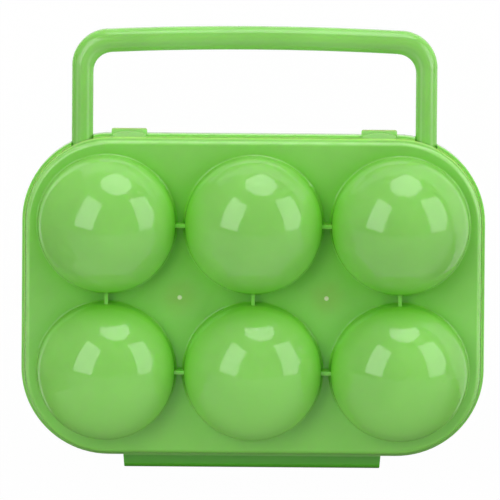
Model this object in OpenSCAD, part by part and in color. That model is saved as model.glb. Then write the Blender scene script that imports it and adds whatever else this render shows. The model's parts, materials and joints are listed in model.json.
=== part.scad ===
// Reusable carrier for six eggs: two moulded half shells, joined by a fold along
// one long side, with a carrying handle held in the rim of the lower half.
// It lies on the crowns of its lower cups, with the lid on top.
// X runs along the hinge, +Y points to the handle, +Z from the base to the lid.
// The origin is under the middle of the whole outline, on the resting plane.

/* [Rim] */
// Distance from the outer cups to the sides of the base's rim
side_margin = 6.35; // [5:0.05:12]
// Distance from the outer cups to the rim's hinge side and to its handle side
end_margin = 7.75; // [6:0.05:14]
// Corner radius of the base's rim
corner_r = 37; // [30:1:44]
// Depth of each half's side wall, from the seam to the outside of the panel
wall_depth = 8.5; // [7:0.5:14]
// Thickness of the moulded walls
wall = 1.8; // [1.4:0.1:2.2]
// Lean of the side walls, in degrees
wall_draft = 3; // [1:0.5:5]
// Radius of the edge between side wall and panel
edge_r = 1.8; // [1:0.1:3]
// Open seam between the two halves
seam_gap = 0.2; // [0.1:0.05:0.4]
// Thickness of the lip that stands round the lid's edge
lip_t = 1.25; // [0.8:0.05:1.4]
// Height of that lip above the seam
lip_h = 0.4; // [0.4:0.1:1.2]
// Width of the bevel on the lip's outer edge
lip_bevel = 0.3; // [0.1:0.1:0.3]
// Space between the lip and the lid's edge
lip_gap = 0.15; // [0.15:0.05:0.4]

/* [Egg cups] */
// Cups side by side
cup_columns = 3; // [3:1:5]
// Rows of cups
cup_rows = 2; // [2:1:3]
// Space between neighbouring cups of a row
cup_gap_x = 3.1; // [2:0.1:8]
// Space between the rows
cup_gap_y = 3.7; // [2:0.1:8]
// Outer diameter of a cup where it leaves the panel
cup_d = 58.7; // [54:0.1:62]
// Height of a cup's crown above the panel
cup_rise = 26.5; // [24:0.5:30]
// Lean of a cup's foot, in degrees
cup_draft = 5; // [2:0.5:8]
// How much larger the radius of the round crown is than the cup's own
crown_extra = 1.7; // [0.5:0.1:4]
// Radius of the shoulder between foot and crown
shoulder_r = 12; // [8:0.5:16]
// Radius of the fillet between a cup's foot and the panel
foot_fillet = 0.8; // [0.4:0.1:1]
// Thickness of the ribs that tie neighbouring cups together
rib_t = 1.5; // [1:0.1:2]
// Height of those ribs above the panel
rib_h = 5.5; // [3:0.5:8]
// Diameter of the two moulding points on each panel
gate_d = 1.4; // [1:0.1:3]
// Height of a moulding point
gate_h = 0.3; // [0.1:0.1:0.6]

/* [Hinge] */
// Width of the hinge where it leaves the rim
hinge_w = 108.5; // [80:0.5:112]
// How much narrower the hinge is at its fold
hinge_taper = 0.9; // [0:0.1:4]
// How far the fold stands out from the base's rim
hinge_reach = 5.2; // [5:0.1:9]
// Radius of the round bead at the fold
bead_r = 1.7; // [1.5:0.1:2]
// Radius of the hinge's two outer corners
hinge_corner_r = 0.6; // [0.3:0.1:1.2]
// Running clearance between the bead and the base's leaf
hinge_fit = 0.08; // [0.05:0.01:0.1]

/* [Pull tabs] */
// Distance from each leg of the handle to the middle of its pull tab
tab_step = 19.8; // [16:0.1:30]
// Width of the base's pull tab
tab_w = 15; // [12:0.2:18]
// How far the base's pull tab stands out from the rim
tab_reach = 2.3; // [1.8:0.1:6]
// Thickness of the pull tabs
tab_t = 1.1; // [0.8:0.1:1.5]
// Corner radius of the base's pull tab
tab_corner_r = 0.9; // [0.5:0.1:1.8]
// Width of the lid's shorter tab
lid_tab_w = 14; // [9:0.2:15]
// How far the lid's tab stands out from the lid's edge
lid_tab_reach = 2.5; // [1:0.1:3.5]
// How much the arched end of the lid's tab falls off to its sides
lid_tab_arch = 1.2; // [0.4:0.1:1.6]
// Depth of the closing tongue below the seam
tongue_depth = 3; // [2:0.2:5]
// Thickness of the closing tongue
tongue_t = 1.4; // [1:0.1:2]
// Space between a closing tongue and the wall that it grips
tongue_gap = 0.15; // [0.12:0.01:0.3]

/* [Handle] */
// Height of the grip's top above the base's rim
handle_rise = 45.5; // [35:0.1:60]
// Distance from each leg's middle to the side of the base's rim
leg_inset = 25.1; // [21:0.1:29]
// Width of the handle's legs
bar_w = 9; // [7:0.1:11]
// Height of the handle's grip, from its lower to its upper edge
grip_w = 9.7; // [9:0.1:12]
// Radius of the bar's rounded edges
bar_edge_r = 2.2; // [1:0.1:2.5]
// Outer radius of the handle's corners
handle_corner_r = 15.6; // [12:0.2:22]
// Inner radius of the handle's corners
inner_corner_r = 8; // [7:0.1:12]
// How far the middle of the grip bows up
grip_bow = 1.5; // [0.5:0.1:5]
// How much fuller the bar is in its bends
bend_fullness = 0.1; // [0.06:0.02:0.4]
// Width of the foot at the end of each leg
foot_w = 15; // [12:0.2:17]
// Thickness of that foot
foot_t = 2.6; // [2:0.1:3.4]
// Space between the handle and its seat in the rim
handle_fit = 0.15; // [0.1:0.05:0.3]

/* [Hidden] */
$fn = 96;
eps = 0.01;
base_color = [0.42, 0.74, 0.27];
lid_color = [0.47, 0.79, 0.31];
handle_color = [0.45, 0.77, 0.29];

// places of the whole
pitch_x = cup_d + cup_gap_x;
pitch_y = cup_d + cup_gap_y;
rim_w = (cup_columns - 1) * pitch_x + cup_d + 2 * side_margin;
rim_h = (cup_rows - 1) * pitch_y + cup_d + 2 * end_margin;
seam_z = cup_rise + wall_depth;
case_y = (hinge_reach - handle_rise) / 2;
corner_x = rim_w / 2 - corner_r;
corner_y = rim_h / 2 - corner_r;
lid_inset = lip_t + lip_gap;
lean = wall / cos(wall_draft);
floor_depth = wall_depth - wall;
far = rim_w;

// places of the cups
columns = [for (i = [0 : cup_columns - 1]) (i - (cup_columns - 1) / 2) * pitch_x];
rows = [for (j = [0 : cup_rows - 1]) (j - (cup_rows - 1) / 2) * pitch_y];

// centre of the shoulder's arc: it touches the leaning foot and the crown
cup_r = cup_d / 2;
crown_r = cup_r + crown_extra;
crown_z = wall_depth + cup_rise - crown_r;
foot_in = cup_r - shoulder_r / cos(cup_draft);
foot_slope = tan(cup_draft);
crown_drop = cup_rise - crown_r;
reach = crown_r - shoulder_r;
half_b = foot_in * foot_slope + crown_drop;
whole_c = foot_in * foot_in + crown_drop * crown_drop - reach * reach;
slope_sq = 1 + foot_slope * foot_slope;
shoulder_up = (half_b + sqrt(half_b * half_b - slope_sq * whole_c)) / slope_sq;
shoulder_x = foot_in - foot_slope * shoulder_up;
shoulder_z = wall_depth + shoulder_up;

// centre of the fillet's arc, a hair too close to foot and panel, so that it cuts into both
fillet_bite = 0.01;
fillet_x = cup_r + (foot_fillet * (1 - sin(cup_draft)) - fillet_bite) / cos(cup_draft);
fillet_z = wall_depth + foot_fillet - fillet_bite;

// places of the hinge: both leaves are flush with the bead
leaf_t = bead_r - seam_gap / 2;
fold_y = -rim_h / 2 - hinge_reach + bead_r;
fold_z = seam_gap / 2;
hinge_slope = hinge_taper / 2 / hinge_reach;

// places of the handle: the bend's outer and inner arcs have centres of their own
handle_t = floor_depth;
leg_x = rim_w / 2 - leg_inset;
tab_x = leg_x - tab_step;
outer_bend_x = leg_x + bar_w / 2 - handle_corner_r;
inner_bend_x = leg_x - bar_w / 2 - inner_corner_r;
bow_r = (outer_bend_x * outer_bend_x + grip_bow * grip_bow) / (2 * grip_bow);
bow_y = rim_h / 2 + handle_rise - bow_r;
outer_reach = bow_r - handle_corner_r;
inner_reach = bow_r - grip_w - inner_corner_r;
outer_bend_y = bow_y + sqrt(outer_reach * outer_reach - outer_bend_x * outer_bend_x);
inner_bend_y = bow_y + sqrt(inner_reach * inner_reach - inner_bend_x * inner_bend_x);
bar_overlap = 0.4;
foot_r = corner_r - lean - floor_depth * tan(wall_draft) - handle_fit;

// half width of the hinge at a distance from the case's middle
function hinge_half(y) = hinge_w / 2 + (y + rim_h / 2) * hinge_slope;

module mirror_x() {
    children();
    mirror([1, 0, 0]) children();
}

module mirror_y() {
    children();
    mirror([0, 1, 0]) children();
}

// carries a profile, drawn outwards from a corner's centre, once round the rim
module round_rim() {
    mirror_x() mirror_y() translate([corner_x, corner_y, 0]) rotate_extrude(angle = 90) children();
    mirror_x() translate([corner_x, 0, 0]) rotate([90, 0, 0])
        linear_extrude(height = 2 * corner_y, center = true) children();
    mirror_y() translate([0, corner_y, 0]) rotate([90, 0, 90])
        linear_extrude(height = 2 * corner_x, center = true) children();
}

// outer section of a half, from the seam up to its panel, with the rounded edge
module outer_section(rim_r) {
    arc_z = wall_depth - edge_r;
    arc_x = rim_r - (edge_r + arc_z * sin(wall_draft)) / cos(wall_draft);
    polygon([
        [0, 0],
        [rim_r, 0],
        [arc_x + edge_r * cos(wall_draft), arc_z + edge_r * sin(wall_draft)],
        [arc_x, arc_z],
        [arc_x, wall_depth],
        [0, wall_depth]
    ]);
    translate([arc_x, arc_z]) circle(r = edge_r);
}

// section of the hollow inside a half
module inner_section(rim_r) {
    polygon([
        [0, -eps],
        [rim_r - lean, -eps],
        [rim_r - lean - floor_depth * tan(wall_draft), floor_depth],
        [0, floor_depth]
    ]);
}

// half section of a cup, moved inwards by the given thickness
module cup_section(inwards) {
    foot_r0 = cup_r - inwards / cos(cup_draft) + wall * foot_slope;
    arc_r = shoulder_r - inwards;
    crown = crown_r - inwards;
    up = (shoulder_z - crown_z) / reach;
    out = shoulder_x / reach;
    polygon([
        [0, floor_depth],
        [foot_r0, floor_depth],
        [shoulder_x + arc_r * cos(cup_draft), shoulder_z + arc_r * sin(cup_draft)],
        [shoulder_x, shoulder_z],
        [crown * out, crown_z + crown * up],
        [0, crown_z + crown * up]
    ]);
    translate([shoulder_x, shoulder_z]) circle(r = arc_r);
    intersection() {
        translate([0, crown_z]) circle(r = crown);
        translate([0, crown_z + crown * up]) square([crown, crown]);
    }
    fillet_section(foot_fillet + inwards);
}

// widening of a cup's section at its foot, out to the given radius about the fillet's centre
module fillet_section(arc_r) {
    difference() {
        translate([0, floor_depth])
            square([fillet_x, fillet_z - arc_r * sin(cup_draft) - floor_depth]);
        translate([fillet_x, fillet_z]) circle(r = arc_r);
    }
}

module cups(inwards) {
    for (x = columns, y = rows)
        translate([x, y, 0]) rotate_extrude() cup_section(inwards);
}

// ribs between neighbouring cups; their ends stop inside the cups' walls
module ribs() {
    span_x = pitch_x - 2 * (cup_r - wall);
    span_y = pitch_y - 2 * (cup_r - wall);
    height = rib_h + wall / 2;
    if (cup_columns > 1)
        for (i = [0 : cup_columns - 2], y = rows)
            translate([columns[i] + (pitch_x - span_x) / 2, y - rib_t / 2, wall_depth - wall / 2])
                cube([span_x, rib_t, height]);
    if (cup_rows > 1)
        for (x = columns, j = [0 : cup_rows - 2])
            translate([x - rib_t / 2, rows[j] + (pitch_y - span_y) / 2, wall_depth - wall / 2])
                cube([rib_t, span_y, height]);
}

module gate_points() {
    if (cup_columns > 1)
        for (i = [0 : cup_columns - 2])
            translate([columns[i] + pitch_x / 2, 0, wall_depth - wall / 2])
                cylinder(d = gate_d, h = gate_h + wall / 2);
}

// one moulded half, seam at z = 0 and cups pointing up
module half_shell(inset) {
    difference() {
        union() {
            round_rim() outer_section(corner_r - inset);
            translate([-corner_x, -corner_y, 0]) cube([2 * corner_x, 2 * corner_y, wall_depth]);
            cups(0);
            ribs();
            gate_points();
        }
        round_rim() inner_section(corner_r - inset);
        translate([-corner_x, -corner_y, -eps])
            cube([2 * corner_x, 2 * corner_y, floor_depth + eps]);
        cups(wall);
    }
}

// plan of the base's hinge leaf, from inside the wall to its hollow end
module base_leaf_plan(root_y, end_y) {
    polygon([
        [-hinge_half(root_y), root_y],
        [hinge_half(root_y), root_y],
        [hinge_half(end_y), end_y],
        [-hinge_half(end_y), end_y]
    ]);
}

// plan of the lid's hinge leaf, from inside the wall to the bead's rounded corners
module lid_leaf_plan(root_y) {
    turn = atan(hinge_slope);
    end_y = fold_y - bead_r;
    arc_y = end_y + hinge_corner_r;
    arc_x = hinge_half(arc_y) - hinge_corner_r / cos(turn);
    side_x = arc_x + hinge_corner_r * cos(turn);
    side_y = arc_y - hinge_corner_r * sin(turn);
    polygon([
        [-hinge_half(root_y), root_y],
        [hinge_half(root_y), root_y],
        [side_x, side_y],
        [arc_x, arc_y],
        [arc_x, end_y],
        [-arc_x, end_y],
        [-arc_x, arc_y],
        [-side_x, side_y]
    ]);
    mirror_x() translate([arc_x, arc_y]) circle(r = hinge_corner_r);
}

// the base's leaf ends in a hollow that the bead turns in
module base_hinge() {
    difference() {
        translate([0, 0, -leaf_t]) linear_extrude(height = leaf_t)
            base_leaf_plan(-rim_h / 2 + wall / 2, fold_y + bead_r / 2);
        translate([0, fold_y, fold_z]) rotate([0, 90, 0])
            cylinder(r = bead_r + hinge_fit, h = hinge_w + 1, center = true);
    }
}

// the lid's leaf runs flush into the round bead
module lid_hinge() {
    root_y = -rim_h / 2 + lid_inset + wall / 2;
    intersection() {
        rotate([90, 0, 90]) linear_extrude(height = hinge_w + 2, center = true) {
            translate([fold_y, fold_z]) circle(r = bead_r);
            translate([fold_y, seam_gap]) square([root_y - fold_y, leaf_t]);
        }
        translate([0, 0, -bead_r]) linear_extrude(height = 3 * bead_r) lid_leaf_plan(root_y);
    }
}

// lip round the rim, open at the hinge, at the pull tabs and at the handle's legs
module rim_lip() {
    open_h = lip_h + 1;
    open_half = hinge_half(-rim_h / 2 + lid_inset) + lip_gap;
    difference() {
        round_rim() translate([corner_r - lip_t, -wall / 2]) polygon([
            [0, 0],
            [lip_t, 0],
            [lip_t, lip_h - lip_bevel + wall / 2],
            [lip_t - lip_bevel, lip_h + wall / 2],
            [0, lip_h + wall / 2]
        ]);
        translate([-open_half, -rim_h / 2 - 1, 0]) cube([2 * open_half, wall + 2, open_h]);
        mirror_x() translate([tab_x - tab_w / 2, rim_h / 2 - wall - 1, 0])
            cube([tab_w, wall + 2, open_h]);
    }
}

module base_tabs() {
    mirror_x() translate([tab_x, rim_h / 2 - wall / 2, -tab_t]) linear_extrude(height = tab_t) {
        length = tab_reach + wall / 2;
        translate([-tab_w / 2, 0]) square([tab_w, length - tab_corner_r]);
        translate([-tab_w / 2 + tab_corner_r, 0]) square([tab_w - 2 * tab_corner_r, length]);
        mirror_x() translate([tab_w / 2 - tab_corner_r, length - tab_corner_r]) circle(r = tab_corner_r);
    }
}

module lid_tabs() {
    arch_r = (pow(lid_tab_w / 2, 2) + pow(lid_tab_arch, 2)) / (2 * lid_tab_arch);
    root_y = rim_h / 2 - lid_inset - wall / 2;
    mirror_x() translate([tab_x, root_y, seam_gap]) linear_extrude(height = tab_t) intersection() {
        length = lid_tab_reach + wall / 2;
        translate([-lid_tab_w / 2, 0]) square([lid_tab_w, length + 1]);
        translate([0, length - arch_r]) circle(r = arch_r);
    }
}

// tongues that slip inside the base's wall and hold the lid shut by friction
module closing_tongues() {
    outer_y = rim_h / 2 - lean - tongue_depth * tan(wall_draft) - tongue_gap;
    mirror_x() translate([tab_x - lid_tab_w / 2, outer_y - tongue_t, -tongue_depth])
        cube([lid_tab_w, tongue_t, 2 * tongue_depth]);
}

module leg_slots() {
    slot_w = bar_w + 2 * handle_fit;
    mirror_x() translate([leg_x - slot_w / 2, corner_y + corner_r / 2, -floor_depth])
        cube([slot_w, corner_r, floor_depth + lip_h + 1]);
}

module base_shell() {
    color(base_color) translate([0, case_y, seam_z]) difference() {
        union() {
            mirror([0, 0, 1]) half_shell(0);
            rim_lip();
            base_hinge();
            base_tabs();
        }
        leg_slots();
    }
}

module lid_shell() {
    color(lid_color) translate([0, case_y, seam_z]) {
        translate([0, 0, seam_gap]) half_shell(lid_inset);
        lid_hinge();
        lid_tabs();
        closing_tongues();
    }
}

// section of the handle's bar, with rounded edges
module bar_section(across, extra = 0) {
    width = across + extra;
    thick = handle_t + extra;
    square([width - 2 * bar_edge_r, thick], center = true);
    square([width, thick - 2 * bar_edge_r], center = true);
    for (x = [-1, 1], y = [-1, 1])
        translate([x * (width / 2 - bar_edge_r), y * (thick / 2 - bar_edge_r)])
            circle(r = bar_edge_r);
}

// foot that hooks behind the curved wall of the rim's corner
module handle_foot() {
    translate([corner_x, corner_y, 0]) intersection() {
        difference() {
            cylinder(r = foot_r, h = handle_t, center = true);
            cylinder(r = foot_r - foot_t, h = handle_t + 1, center = true);
        }
        translate([leg_x - corner_x - foot_w / 2, 0, -handle_t])
            cube([foot_w, far, 2 * handle_t]);
    }
}

// outer arc of a bend, then the fuller arc inside it
module handle_bend() {
    inner_w = bar_w - bar_edge_r;
    translate([outer_bend_x, outer_bend_y, 0])
        rotate_extrude(angle = 90 - asin(outer_bend_x / outer_reach))
            translate([handle_corner_r - bar_w / 2, 0]) bar_section(bar_w, bend_fullness);
    translate([inner_bend_x, inner_bend_y, 0])
        rotate_extrude(angle = 90 - asin(inner_bend_x / inner_reach))
            translate([inner_corner_r + inner_w / 2, 0]) bar_section(inner_w, bend_fullness);
}

// the grip and the legs end a little inside the fuller bends
module handle() {
    leg_end = corner_y + sqrt(pow(foot_r, 2) - pow(leg_x + bar_w / 2 - corner_x, 2)) - foot_t / 2;
    leg_top = outer_bend_y + bar_overlap;
    half_grip = asin(outer_bend_x / outer_reach) + asin(bar_overlap / bow_r);
    color(handle_color) translate([0, case_y, seam_z - handle_t / 2]) {
        translate([0, bow_y, 0]) rotate_extrude(angle = 2 * half_grip, start = 90 - half_grip)
            translate([bow_r - grip_w / 2, 0]) bar_section(grip_w);
        mirror_x() handle_bend();
        mirror_x() translate([leg_x, leg_top, 0]) rotate([90, 0, 0])
            linear_extrude(height = leg_top - leg_end) bar_section(bar_w);
        mirror_x() handle_foot();
    }
}

base_shell();
lid_shell();
handle();
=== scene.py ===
"""Reusable egg carrier in glossy apple-green plastic, lying on its cups and seen from above."""
import json
from math import cos, radians, sin

import bmesh
import bpy
from mathutils import Matrix, Vector

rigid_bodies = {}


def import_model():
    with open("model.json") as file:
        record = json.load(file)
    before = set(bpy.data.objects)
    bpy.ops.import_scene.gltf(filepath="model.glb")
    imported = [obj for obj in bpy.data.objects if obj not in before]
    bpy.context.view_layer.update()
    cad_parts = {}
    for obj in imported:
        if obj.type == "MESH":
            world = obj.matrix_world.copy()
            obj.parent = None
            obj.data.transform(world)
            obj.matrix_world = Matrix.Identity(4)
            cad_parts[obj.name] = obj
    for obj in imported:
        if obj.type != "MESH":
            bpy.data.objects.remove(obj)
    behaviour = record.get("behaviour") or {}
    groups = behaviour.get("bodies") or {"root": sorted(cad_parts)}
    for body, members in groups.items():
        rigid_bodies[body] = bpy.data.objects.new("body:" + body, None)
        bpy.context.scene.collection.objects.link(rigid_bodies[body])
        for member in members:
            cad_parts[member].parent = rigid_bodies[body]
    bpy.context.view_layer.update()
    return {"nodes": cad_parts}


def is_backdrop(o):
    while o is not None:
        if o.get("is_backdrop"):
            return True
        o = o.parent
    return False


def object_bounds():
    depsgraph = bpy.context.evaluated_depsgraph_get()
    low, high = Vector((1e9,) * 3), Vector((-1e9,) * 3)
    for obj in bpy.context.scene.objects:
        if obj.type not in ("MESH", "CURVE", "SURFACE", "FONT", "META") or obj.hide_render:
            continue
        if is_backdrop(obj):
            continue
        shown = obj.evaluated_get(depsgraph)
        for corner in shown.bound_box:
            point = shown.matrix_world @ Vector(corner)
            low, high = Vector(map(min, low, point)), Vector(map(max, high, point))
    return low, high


MM = 0.001

# The photograph's view of the case
VIEW_ELEVATION = radians(8.5)     # the lens stands a little to the handle's side of the face
PICTURE_ROLL = radians(0.44)      # the case leans clockwise in the picture
CAMERA_DISTANCE = 8.0
SENSOR = 36.0
PICTURE = 500                     # pixels along each side
PICTURE_SCALE = 0.4216 * MM       # metres of the seam's plane for each pixel
CASE_MIDDLE_PX = (253.1, 294.9)   # where the middle of the seam shows

# Light boxes, as directions from the case to their corners
BOX_DISTANCE = 1.3
LEFT_BOX = ((-0.48, 0.72, 0.50), (-0.17, 0.58, 0.80), (-0.42, -0.07, 0.90), (-0.80, 0.03, 0.60))
RIGHT_BOX = (
    (0.50, 0.66, 0.56), (0.77, 0.62, 0.16), (0.97, 0.20, 0.15),
    (0.96, -0.05, 0.28), (0.76, -0.07, 0.65),
)
TOP_BOX = (
    (0.11, 0.99, -0.03), (-0.17, 0.97, 0.18), (-0.19, 0.88, 0.44), (0.00, 0.81, 0.59),
    (0.23, 0.77, 0.59), (0.41, 0.78, 0.47), (0.50, 0.84, 0.22), (0.40, 0.92, 0.04),
)
TOP_HUB = (0.11, 0.96, 0.27)      # the lamp at the middle of the top box
HUB_SPREAD = 0.14                 # how far its glow spreads over the cloth
LEFT_BOX_GLOW = 3.6
RIGHT_BOX_GLOW = 3.2
TOP_BOX_GLOW = 3.7
TOP_HUB_GLOW = 6.5

# The room's light, and how much plain white the floor and the world show to the camera and in gloss
ROOM_LIGHT = 0.18
FLOOR_HALF = 6.0
FLOOR_SEEN = 0.985
FLOOR_MIRRORED = 0.35
WORLD_SEEN = 1.0
WORLD_MIRRORED = 0.1

# Places on the case that its finish follows
CASE_Y = -20.15 * MM
SEAM_Z = 35 * MM
RIM_X = 97.5 * MM                 # outside of the rim, from the case's middle
RIM_Y = 68.3 * MM
RIM_CORNER = 37 * MM
SEAM_INSET = 1.35 * MM            # the seam lies this far inside the rim
ROUNDED_INSET = 2.5 * MM          # and the rims' rounded edges this far
GATE_X = 30.9 * MM                # the two moulding points stand this far from the middle
TAB_X = 52.6 * MM                 # middle of each pull tab
TAB_ROOT_Y = 48.15 * MM           # outside of the base's rim, where its tabs begin
FOLD_Y = -91.95 * MM              # middle of the hinge's bead
GRIP_Y = 88.8 * MM                # middle of the grip's bar, where it bows up most
GRIP_BOW_RADIUS = 1250 * MM
BEND_X = 61.3 * MM                # centre of the bar's bends
BEND_RADIUS = 11.1 * MM           # and the radius of the bar's middle round it
BAR_HALF = 4.5 * MM
BAR_CROWN = 1.4 * MM              # how much higher the bar's middle seems than its edges
BAR_EDGE = 2.3 * MM               # where its flat face begins to round, from its middle

# The plastic's greens, and the colours of the painted light, highlight and shade on it
SHELL_GREEN = (0.238, 0.578, 0.112)
HANDLE_GREEN = (0.250, 0.600, 0.118)
FOLD_SIDE_PAINTED_LIGHT = (0.238, 0.615, 0.096)
FOLD_PAINTED_SHADE = (0.085, 0.44, 0.015)
GATE_CLOUD = (0.24, 0.42, 0.07)
GATE_DOT = (0.62, 0.76, 0.45)
LID_FOOT_PAINTED_LIGHT = (0.46, 0.92, 0.24)
SEAM_PAINTED_LIGHT = (0.52, 0.95, 0.24)
BASE_EDGE_PAINTED_LIGHT = (0.34, 0.86, 0.13)
RIM_PAINTED_HIGHLIGHT = (0.42, 0.72, 0.28)
BAR_PAINTED_HIGHLIGHT = (0.40, 0.70, 0.27)
BASE_TAB_PAINTED_LIGHT = (0.36, 0.66, 0.22)
LID_TAB_PAINTED_LIGHT = (0.36, 0.60, 0.26)
TAB_EDGE_PAINTED_LIGHT = (0.42, 0.50, 0.24)


def clear_scene():
    for thing in list(bpy.data.objects):
        bpy.data.objects.remove(thing, do_unlink=True)


def make_camera(target):
    """A very long lens, so that the picture is nearly flat, as the photograph is."""
    camera_data = bpy.data.cameras.new("camera")
    camera = bpy.data.objects.new("camera", camera_data)
    bpy.context.scene.collection.objects.link(camera)
    toward = Vector((0, sin(VIEW_ELEVATION), cos(VIEW_ELEVATION)))
    right = Vector((1, 0, 0))
    up = toward.cross(right)
    turned_right = right * cos(PICTURE_ROLL) + up * sin(PICTURE_ROLL)
    turned_up = up * cos(PICTURE_ROLL) - right * sin(PICTURE_ROLL)
    shift_right = (PICTURE / 2 - CASE_MIDDLE_PX[0]) * PICTURE_SCALE
    shift_up = (CASE_MIDDLE_PX[1] - PICTURE / 2) * PICTURE_SCALE
    place = target + toward * CAMERA_DISTANCE + turned_right * shift_right + turned_up * shift_up
    axes = Matrix((turned_right, turned_up, toward)).transposed()
    camera.matrix_world = Matrix.Translation(place) @ axes.to_4x4()
    camera_data.sensor_width = SENSOR
    camera_data.lens = SENSOR * CAMERA_DISTANCE / (PICTURE * PICTURE_SCALE)
    camera_data.clip_end = 4 * CAMERA_DISTANCE
    bpy.context.scene.camera = camera


def new_material(name):
    material = bpy.data.materials.new(name)
    material.use_nodes = True
    return material, material.node_tree.nodes, material.node_tree.links


def calculate(material, operation, *values):
    """A Math node whose inputs are numbers or other nodes' outputs."""
    nodes, links = material.node_tree.nodes, material.node_tree.links
    node = nodes.new("ShaderNodeMath")
    node.operation = operation
    for socket, value in zip(node.inputs, values):
        if isinstance(value, (int, float)):
            socket.default_value = value
        else:
            links.new(value, socket)
    return node.outputs[0]


def product(material, first, *others):
    for other in others:
        first = calculate(material, "MULTIPLY", first, other)
    return first


def off(material, value, middle):
    """How far a value is from a middle, to either side."""
    return calculate(material, "ABSOLUTE", calculate(material, "SUBTRACT", value, middle))


def past(material, value, edge):
    """How far a value is past an edge, or nothing."""
    return calculate(material, "MAXIMUM", calculate(material, "SUBTRACT", value, edge), 0)


def distance(material, across, along):
    squares = calculate(material, "ADD", product(material, across, across), product(material, along, along))
    return calculate(material, "SQRT", squares)


def ramp(material, value, low, high, to_low=0.0, to_high=1.0):
    """Carries a value smoothly from one range to another."""
    nodes, links = material.node_tree.nodes, material.node_tree.links
    node = nodes.new("ShaderNodeMapRange")
    node.interpolation_type = "SMOOTHSTEP"
    links.new(value, node.inputs["Value"])
    node.inputs["From Min"].default_value = low
    node.inputs["From Max"].default_value = high
    node.inputs["To Min"].default_value = to_low
    node.inputs["To Max"].default_value = to_high
    return node.outputs["Result"]


def noise(material, place, scale, detail, roughness=0.5):
    nodes, links = material.node_tree.nodes, material.node_tree.links
    node = nodes.new("ShaderNodeTexNoise")
    links.new(place, node.inputs["Vector"])
    node.inputs["Scale"].default_value = scale
    node.inputs["Detail"].default_value = detail
    node.inputs["Roughness"].default_value = roughness
    return node.outputs["Fac"]


def tinted(material, amount, under, over):
    """Lays one colour over another by an amount from 0 to 1."""
    nodes, links = material.node_tree.nodes, material.node_tree.links
    node = nodes.new("ShaderNodeMix")
    node.data_type = "RGBA"
    links.new(amount, node.inputs["Factor"])
    for socket, color in ((node.inputs["A"], under), (node.inputs["B"], over)):
        if isinstance(color, tuple):
            socket.default_value = (*color, 1)
        else:
            links.new(color, socket)
    return node.outputs["Result"]


def places(material):
    """The place on the object, whole and as its X, Y and Z."""
    nodes, links = material.node_tree.nodes, material.node_tree.links
    place = nodes.new("ShaderNodeTexCoord").outputs["Object"]
    split = nodes.new("ShaderNodeSeparateXYZ")
    links.new(place, split.inputs[0])
    return place, *split.outputs


def cloudy_green_painted_shade(material, place, color):
    """A slightly uneven green, with painted shade: deeper and more saturated in its hollows."""
    lighter = tuple(min(1.0, part * 1.06 + 0.004) for part in color)
    darker = tuple(part * 0.95 for part in color)
    shade_green = (color[0] * 0.78, color[1] * 1.04, color[2] * 0.40)
    clouds = ramp(material, noise(material, place, 26, 3), 0.3, 0.7)
    body = tinted(material, clouds, darker, lighter)

    # painted shade: ambient occlusion deepens the colour in hollows and between the cups
    occlusion = material.node_tree.nodes.new("ShaderNodeAmbientOcclusion")
    occlusion.samples = 8
    occlusion.only_local = True
    occlusion.inputs["Distance"].default_value = 35 * MM
    painted_shade = ramp(material, occlusion.outputs["AO"], 0.94, 0.42)
    return tinted(material, painted_shade, body, shade_green)


def moulded_plastic(name, color, smooth, dull):
    """Glossy moulded green that lets a little light in, with faint flow in its skin and dulled patches."""
    material, nodes, links = new_material(name)
    shader = nodes["Principled BSDF"]
    place = nodes.new("ShaderNodeTexCoord").outputs["Object"]
    body = cloudy_green_painted_shade(material, place, color)

    shader.inputs["IOR"].default_value = 1.5
    shader.inputs["Subsurface Weight"].default_value = 0.75
    shader.inputs["Subsurface Radius"].default_value = (0.6, 1.0, 0.35)
    shader.inputs["Subsurface Scale"].default_value = 3 * MM

    worn = ramp(material, noise(material, place, 60, 4, 0.7), 0.35, 0.75, smooth, dull)
    links.new(worn, shader.inputs["Roughness"])

    skin = nodes.new("ShaderNodeBump")
    skin.inputs["Strength"].default_value = 0.25
    skin.inputs["Distance"].default_value = 0.05 * MM
    links.new(noise(material, place, 320, 2), skin.inputs["Height"])
    links.new(skin.outputs["Normal"], shader.inputs["Normal"])
    return material, body, skin


def gate_marks(material, body, place, side, along):
    """The pale dot that each moulding point leaves, in a cloudy ring."""
    away = distance(material, off(material, side, GATE_X), along)
    ring = ramp(material, away, 10 * MM, 2 * MM, 0.0, 0.7)
    patchy = noise(material, place, 180, 3)
    body = tinted(material, product(material, ring, patchy), body, GATE_CLOUD)
    return tinted(material, ramp(material, away, 1.15 * MM, 0.7 * MM), body, GATE_DOT)


def paint_seam_light(material, body, upper, inward, z):
    """Painted light: the colour is lightened at the lid wall's foot, in the seam's gap and on the base's
    upper edge, hiding the shade there.
    """
    lid_foot_light = product(
        material, upper,
        ramp(material, z, SEAM_Z + 0.62 * MM, SEAM_Z + 0.9 * MM),
        ramp(material, z, SEAM_Z + 6 * MM, SEAM_Z + 2.5 * MM, 0.0, 0.85),
    )
    body = tinted(material, lid_foot_light, body, LID_FOOT_PAINTED_LIGHT)
    seam = product(
        material, upper,
        ramp(material, off(material, inward, RIM_CORNER - SEAM_INSET), 0.5 * MM, 0.2 * MM, 0.0, 0.9),
        ramp(material, z, SEAM_Z + 3.5 * MM, SEAM_Z + 1.5 * MM),
    )
    body = tinted(material, seam, body, SEAM_PAINTED_LIGHT)
    base_edge_light = product(
        material, upper,
        ramp(material, z, SEAM_Z + 0.1 * MM, SEAM_Z + 0.05 * MM),
        ramp(material, z, SEAM_Z - 8 * MM, SEAM_Z - 2 * MM, 0.0, 0.4),
    )
    return tinted(material, base_edge_light, body, BASE_EDGE_PAINTED_LIGHT)


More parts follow.
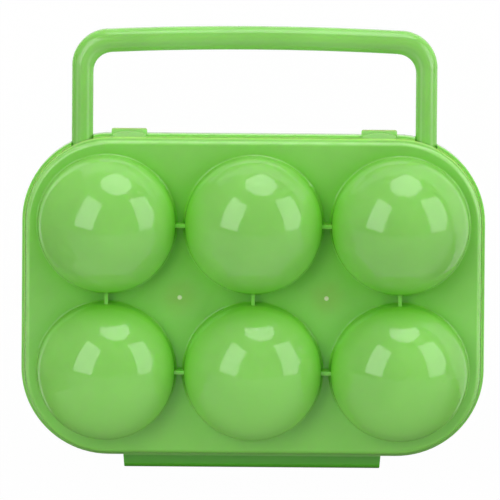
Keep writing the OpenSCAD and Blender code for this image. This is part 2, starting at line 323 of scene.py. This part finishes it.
def paint_rim_highlight(material, body, upper, inward, place, z):
    """Painted highlight: the rounded edges of both rims are made paler in patches."""
    # painted highlight, broken into patches
    highlight_patches = ramp(material, noise(material, place, 90, 3), 0.35, 0.6, 0.15, 0.45)
    rounded = ramp(material, off(material, z, SEAM_Z + 0.1 * MM), 7 * MM, 8 * MM)
    edge_highlight_mask = ramp(material, off(material, inward, RIM_CORNER - ROUNDED_INSET), 1.0 * MM, 0.3 * MM)
    return tinted(material, product(material, upper, highlight_patches, rounded, edge_highlight_mask), body, RIM_PAINTED_HIGHLIGHT)


def tabs_painted_light(material, body, place, side, y, z):
    """Painted light: the pull tabs are made paler, as if lit through their thin plastic, and paler and
    greyer along a ragged line at their outer edges.
    """
    # painted light through the thin tabs
    on_tab = ramp(material, off(material, side, TAB_X), 7.8 * MM, 7.4 * MM)
    base_tab_light = ramp(material, y, TAB_ROOT_Y - 0.2 * MM, TAB_ROOT_Y + 0.6 * MM, 0.0, 0.75)
    body = tinted(material, product(material, on_tab, base_tab_light), body, BASE_TAB_PAINTED_LIGHT)
    on_lid = ramp(material, z, SEAM_Z + 0.1 * MM, SEAM_Z + 0.2 * MM)
    lid_tab_light = ramp(material, y, TAB_ROOT_Y - 1.5 * MM, TAB_ROOT_Y - 0.9 * MM, 0.0, 0.7)
    body = tinted(material, product(material, on_tab, on_lid, lid_tab_light), body, LID_TAB_PAINTED_LIGHT)
    ragged = calculate(material, "MULTIPLY", noise(material, place, 300, 2), 0.8 * MM)
    torn = calculate(material, "ADD", y, ragged)
    edge = ramp(material, torn, TAB_ROOT_Y + 1.9 * MM, TAB_ROOT_Y + 2.5 * MM, 0.0, 0.8)
    return tinted(material, product(material, on_tab, edge), body, TAB_EDGE_PAINTED_LIGHT)


def shell_plastic(name):
    """The case's plastic, whose colour follows the moulding points, with painted light at its seam, tabs and
    fold side, a painted highlight on its rims, and painted shade at its fold and in its hollows.
    """
    material, body = moulded_plastic(name, SHELL_GREEN, smooth=0.07, dull=0.14)[:2]
    place, x, y, z = places(material)
    side = off(material, x, 0)
    along = off(material, y, CASE_Y)
    body = gate_marks(material, body, place, side, along)
    # painted light: towards the fold side the green turns greener and less blue, standing in for the light
    # that falls there
    body = tinted(material, ramp(material, y, -35 * MM, -85 * MM), body, FOLD_SIDE_PAINTED_LIGHT)

    # the rims, above the fold's side: how far a place reaches out from the rim's corner centres
    upper = ramp(material, y, -80 * MM, -45 * MM)
    inward = distance(
        material,
        past(material, side, RIM_X - RIM_CORNER),
        past(material, along, RIM_Y - RIM_CORNER),
    )
    # painted light along the seam and through the tabs, and a painted highlight on the rims' rounded edges
    body = paint_seam_light(material, body, upper, inward, z)
    body = paint_rim_highlight(material, body, upper, inward, place, z)
    body = tabs_painted_light(material, body, place, side, y, z)

    # painted shade: the fold is made much deeper in colour, standing in for the case's shadow on it
    fold = ramp(material, y, FOLD_Y + 3.6 * MM, FOLD_Y + 3.2 * MM, 0.0, 0.95)
    body = tinted(material, fold, body, FOLD_PAINTED_SHADE)
    material.node_tree.links.new(body, material.node_tree.nodes["Principled BSDF"].inputs["Base Color"])
    return material


def handle_plastic(name):
    """The handle's plastic. Its bars are a little crowned across, and carry a painted highlight where they
    begin to round.
    """
    material, body, skin = moulded_plastic(name, HANDLE_GREEN, smooth=0.14, dull=0.22)
    nodes, links = material.node_tree.nodes, material.node_tree.links
    x, y = places(material)[1:3]
    side = off(material, x, 0)

    # how far a place is from the bar's middle line, which runs up the leg, round the bend and along the grip
    inner = calculate(material, "MINIMUM", side, BEND_X)
    bow = calculate(material, "DIVIDE", product(material, inner, inner), 2 * GRIP_BOW_RADIUS)
    straight = calculate(material, "ADD", y, bow)
    round_bend = distance(
        material,
        past(material, side, BEND_X),
        past(material, straight, GRIP_Y - BEND_RADIUS),
    )
    from_middle = off(material, round_bend, BEND_RADIUS)

    # painted highlight: a paler line where the bar's flat face begins to round
    edge_highlight_mask = ramp(material, off(material, from_middle, BAR_EDGE), 0.9 * MM, 0.1 * MM, 0.0, 0.4)
    below_grip = ramp(material, y, GRIP_Y - 2 * MM, GRIP_Y - 10 * MM)
    body = tinted(material, product(material, edge_highlight_mask, below_grip), body, BAR_PAINTED_HIGHLIGHT)
    links.new(body, nodes["Principled BSDF"].inputs["Base Color"])

    crown = nodes.new("ShaderNodeBump")
    crown.inputs["Strength"].default_value = 1.0
    crown.inputs["Distance"].default_value = 1.0
    fall = ramp(material, from_middle, 0.3 * MM, BAR_HALF, 0.0, -BAR_CROWN)
    links.new(fall, crown.inputs["Height"])
    links.new(crown.outputs["Normal"], skin.inputs["Normal"])
    return material


def light_surface(name, strength):
    material, nodes, links = new_material(name)
    nodes.clear()
    output = nodes.new("ShaderNodeOutputMaterial")
    glow = nodes.new("ShaderNodeEmission")
    glow.inputs["Strength"].default_value = strength
    glow.inputs["Color"].default_value = (1, 1, 1, 1)
    links.new(glow.outputs["Emission"], output.inputs["Surface"])
    return material


def flat_panel(name, corners, material):
    """A stage panel, which isn't part of the case."""
    mesh = bpy.data.meshes.new(name)
    build = bmesh.new()
    build.faces.new([build.verts.new(corner) for corner in corners])
    build.to_mesh(mesh)
    build.free()
    panel = bpy.data.objects.new(name, mesh)
    panel.data.materials.append(material)
    bpy.context.scene.collection.objects.link(panel)
    panel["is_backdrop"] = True
    return panel


def unseen_light(name, corners, strength):
    """A glowing panel that lights the case and mirrors in it, but neither shows nor throws a shadow."""
    panel = flat_panel(name, corners, light_surface(name, strength))
    panel.visible_camera = False
    panel.visible_shadow = False
    return panel


def light_box(name, directions, target, strength):
    corners = [target + Vector(direction).normalized() * BOX_DISTANCE for direction in directions]
    return unseen_light(name, corners, strength)


def add_hub(box, direction, target, strength, glow):
    """Brightens a box round its lamp, which shows through the cloth."""
    surface = box.data.materials[0]
    nodes, links = surface.node_tree.nodes, surface.node_tree.links
    away = nodes.new("ShaderNodeVectorMath")
    away.operation = "DISTANCE"
    away.inputs[1].default_value = target + Vector(direction).normalized() * BOX_DISTANCE
    links.new(nodes.new("ShaderNodeTexCoord").outputs["Object"], away.inputs[0])
    brighter = ramp(surface, away.outputs["Value"], HUB_SPREAD, 0.0, strength, glow)
    links.new(brighter, nodes["Emission"].inputs["Strength"])


def grade_card(card, low_z, high_z, low_glow, high_glow):
    """Lets a standing card glow less towards its foot."""
    surface = card.data.materials[0]
    z = places(surface)[3]
    shaded = ramp(surface, z, low_z, high_z, low_glow, high_glow)
    surface.node_tree.links.new(shaded, surface.node_tree.nodes["Emission"].inputs["Strength"])


def background_share(material, seen, mirrored):
    """How much of plain white a ray meets: seen by the camera, or mirrored in gloss or through glass."""
    paths = material.node_tree.nodes.new("ShaderNodeLightPath")
    bounced = calculate(
        material, "MAXIMUM", paths.outputs["Is Glossy Ray"], paths.outputs["Is Transmission Ray"]
    )
    direct = calculate(material, "MULTIPLY", paths.outputs["Is Camera Ray"], seen)
    return calculate(material, "MAXIMUM", direct, calculate(material, "MULTIPLY", bounced, mirrored))


def make_floor():
    """A pale matt floor that shows white."""
    material, nodes, links = new_material("floor")
    shader = nodes["Principled BSDF"]
    shader.inputs["Base Color"].default_value = (0.9, 0.9, 0.9, 1)
    shader.inputs["Roughness"].default_value = 1.0
    shader.inputs["Specular IOR Level"].default_value = 0.0
    glow = nodes.new("ShaderNodeEmission")
    glow.inputs["Strength"].default_value = 1.0
    mix = nodes.new("ShaderNodeMixShader")
    links.new(background_share(material, FLOOR_SEEN, FLOOR_MIRRORED), mix.inputs["Fac"])
    links.new(shader.outputs["BSDF"], mix.inputs[1])
    links.new(glow.outputs["Emission"], mix.inputs[2])
    links.new(mix.outputs["Shader"], nodes["Material Output"].inputs["Surface"])
    half = FLOOR_HALF
    flat_panel("floor", [(-half, -half, 0), (half, -half, 0), (half, half, 0), (-half, half, 0)], material)


def make_table_card():
    """The pale table that the photograph's case reflects in the lower half of its cups."""
    half, top, glow = 1.2, 0.54, 0.80
    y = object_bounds()[0].y - 3 * MM
    card = unseen_light("table_card", [(-half, y, 0), (half, y, 0), (half, y, top), (-half, y, top)], glow)
    grade_card(card, 30 * MM, 80 * MM, 0.1, glow)


def make_side_card():
    """A low grey card that keeps the white floor out of the cups' left sides."""
    x, near, far, top, glow = -0.145, -0.09, 0.17, 0.1, 0.28
    card = unseen_light("left_card", [(x, near, 0), (x, far, 0), (x, far, top), (x, near, top)], glow)
    card.visible_diffuse = False
    grade_card(card, 10 * MM, 90 * MM, 0.08, glow)


def make_back_card():
    """The tall pale card beyond the handle, which lights the upper edges."""
    half, y, top, glow = 0.9, 1.4, 0.6, 0.35
    unseen_light("back_card", [(half, y, 0), (-half, y, 0), (-half, y, top), (half, y, top)], glow)


def make_world():
    world = bpy.data.worlds.new("world")
    world.use_nodes = True
    bpy.context.scene.world = world
    nodes, links = world.node_tree.nodes, world.node_tree.links
    background = nodes["Background"]
    background.inputs["Color"].default_value = (1, 1, 1, 1)
    strength = nodes.new("ShaderNodeMapRange")
    strength.inputs["To Min"].default_value = ROOM_LIGHT
    strength.inputs["To Max"].default_value = 1.0
    links.new(background_share(world, WORLD_SEEN, WORLD_MIRRORED), strength.inputs["Value"])
    links.new(strength.outputs["Result"], background.inputs["Strength"])


clear_scene()
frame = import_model()

CASE_MIDDLE = Vector((0, CASE_Y, SEAM_Z))
make_camera(CASE_MIDDLE)

shell = shell_plastic("green_shell")
bar = handle_plastic("green_handle")
for name, plastic in (("base_shell", shell), ("lid_shell", shell), ("handle", bar)):
    for slot in frame["nodes"][name].material_slots:
        slot.material = plastic

light_box("left_box", LEFT_BOX, CASE_MIDDLE, LEFT_BOX_GLOW)
light_box("right_box", RIGHT_BOX, CASE_MIDDLE, RIGHT_BOX_GLOW)
top_box = light_box("top_box", TOP_BOX, CASE_MIDDLE, TOP_BOX_GLOW)
add_hub(top_box, TOP_HUB, CASE_MIDDLE, TOP_BOX_GLOW, TOP_HUB_GLOW)
make_floor()
make_table_card()
make_side_card()
make_back_card()
make_world()

bpy.context.scene.view_settings.view_transform = "Standard"
